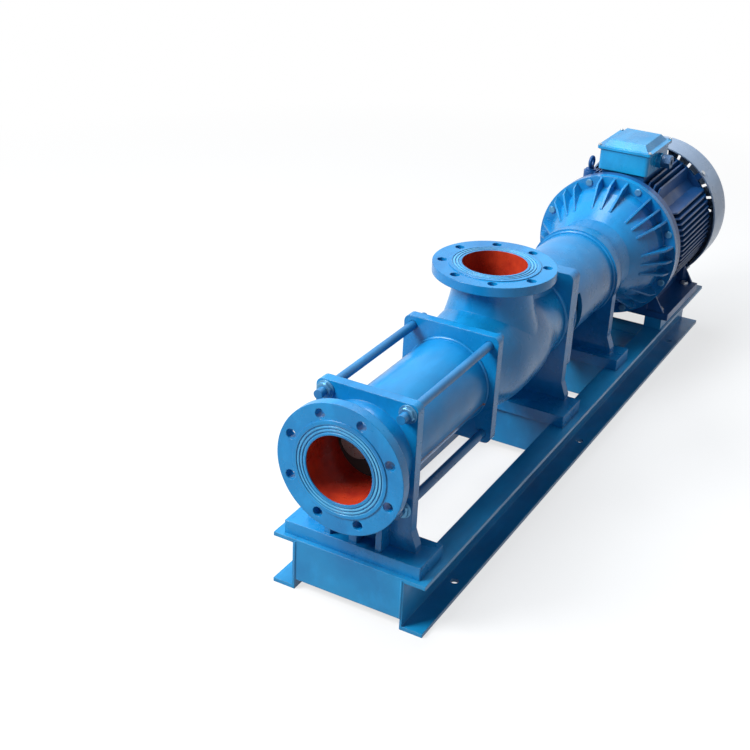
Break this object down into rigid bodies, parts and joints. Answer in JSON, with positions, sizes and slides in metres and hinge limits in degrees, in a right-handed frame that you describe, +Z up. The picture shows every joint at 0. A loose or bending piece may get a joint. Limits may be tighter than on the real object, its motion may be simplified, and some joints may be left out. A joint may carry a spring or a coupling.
{
  "type": "progressive cavity pump",
  "caption": "Single screw pump with an end discharge flange, a top suction flange, a bearing bracket and a finned foot motor, all on a welded channel base.",
  "frame": {"origin": "on the floor, at the centre of the base's corner anchor holes", "axes": "+X along the pump axis from the discharge flange to the motor, +Z up, +Y to the side away from the cable gland"},
  "size_m": [1.928, 0.418, 0.641],
  "materials": {
    "casing_paint": "gloss enamel on cast iron",
    "tube_paint": "gloss enamel on steel tube",
    "bracket_paint": "gloss enamel on cast iron",
    "motor_paint": "gloss enamel on cast iron",
    "box_paint": "gloss enamel",
    "cowl_paint": "satin enamel on sheet steel",
    "rail_paint": "enamel on rolled steel",
    "nut_steel": "zinc plated",
    "nut_paint": "enamel over zinc plate",
    "rod_steel": "painted over plain steel",
    "screw_steel": "hard chrome, polished",
    "shaft_steel": "turned and ground",
    "bearing_steel": "ground",
    "stator_rubber": "moulded elastomer",
    "boot_rubber": "moulded rubber",
    "packing": "braided and greased",
    "gland_metal": "machined",
    "coupling_iron": "turned cast iron",
    "fan_plastic": "moulded",
    "core_steel": "laminated steel",
    "cable_plastic": "moulded, painted over"
  },
  "bodies": {
    "pump_frame": {"base_rail_left": "rail_paint", "base_rail_right": "rail_paint", "cross_members": "rail_paint", "motor_risers": "rail_paint", "discharge_casing": "casing_paint", "stator_tube": "tube_paint", "stator_rubber": "stator_rubber", "tie_rods": "rod_steel", "tie_rod_nuts": "nut_paint", "suction_casing": "casing_paint", "packing_rings": "packing", "packing_gland": "gland_metal", "gland_studs": "nut_steel", "bearing_bracket": "bracket_paint", "front_bearing": "bearing_steel", "rear_bearing": "bearing_steel", "bearing_cover": "gland_metal", "bell_housing": "bracket_paint", "motor_frame": "motor_paint", "drive_end_shield": "motor_paint", "rear_end_shield": "motor_paint", "motor_stator_core": "core_steel", "motor_bearings": "bearing_steel", "fan_cowl": "cowl_paint", "cowl_screws": "nut_steel", "terminal_box": "box_paint", "terminal_box_lid": "box_paint", "lid_screws": "nut_steel", "cable_gland": "cable_plastic", "lifting_eye": "motor_paint", "discharge_foot_bolts": "nut_steel", "suction_foot_bolts": "nut_steel", "bracket_foot_bolts": "nut_steel", "motor_foot_bolts": "nut_steel", "bell_bolts": "nut_paint"},
    "drive": {"drive_shaft": "shaft_steel", "shaft_joint_boot": "boot_rubber", "bearing_inner_rings": "bearing_steel", "pump_coupling_half": "coupling_iron", "motor_coupling_half": "coupling_iron", "coupling_pins": "boot_rubber", "motor_rotor": "core_steel", "cooling_fan": "fan_plastic"},
    "ball_set": {"bearing_balls": "bearing_steel"},
    "orbit_carrier": {"rotor_joint_boot": "boot_rubber"},
    "screw": {"rotor": "screw_steel"},
    "rod": {"connecting_rod": "shaft_steel"}
  },
  "joints": [
    {"name": "drive_spin", "type": "hinge", "parent": "pump_frame", "child": "drive", "pos_m": [0, 0, 0.36], "axis": [1, 0, 0], "continuous": true},
    {"name": "ball_set_spin", "type": "hinge", "parent": "pump_frame", "child": "ball_set", "pos_m": [0, 0, 0.36], "axis": [1, 0, 0], "continuous": true},
    {"name": "screw_orbit", "type": "hinge", "parent": "pump_frame", "child": "orbit_carrier", "pos_m": [-0.407, 0, 0.36], "axis": [1, 0, 0], "continuous": true},
    {"name": "screw_spin", "type": "hinge", "parent": "orbit_carrier", "child": "screw", "pos_m": [-0.407, 0.013, 0.36], "axis": [1, 0, 0], "continuous": true},
    {"name": "rod_spin", "type": "hinge", "parent": "orbit_carrier", "child": "rod", "pos_m": [-0.407, 0.013, 0.36], "axis": [0.9987, -0.0515, 0], "continuous": true}
  ],
  "couplings": [
    {"joint": "ball_set_spin", "follows": "drive_spin", "ratio": 0.435},
    {"joint": "screw_orbit", "follows": "drive_spin", "ratio": -1},
    {"joint": "screw_spin", "follows": "drive_spin", "ratio": 2},
    {"joint": "rod_spin", "follows": "drive_spin", "ratio": 2}
  ]
}
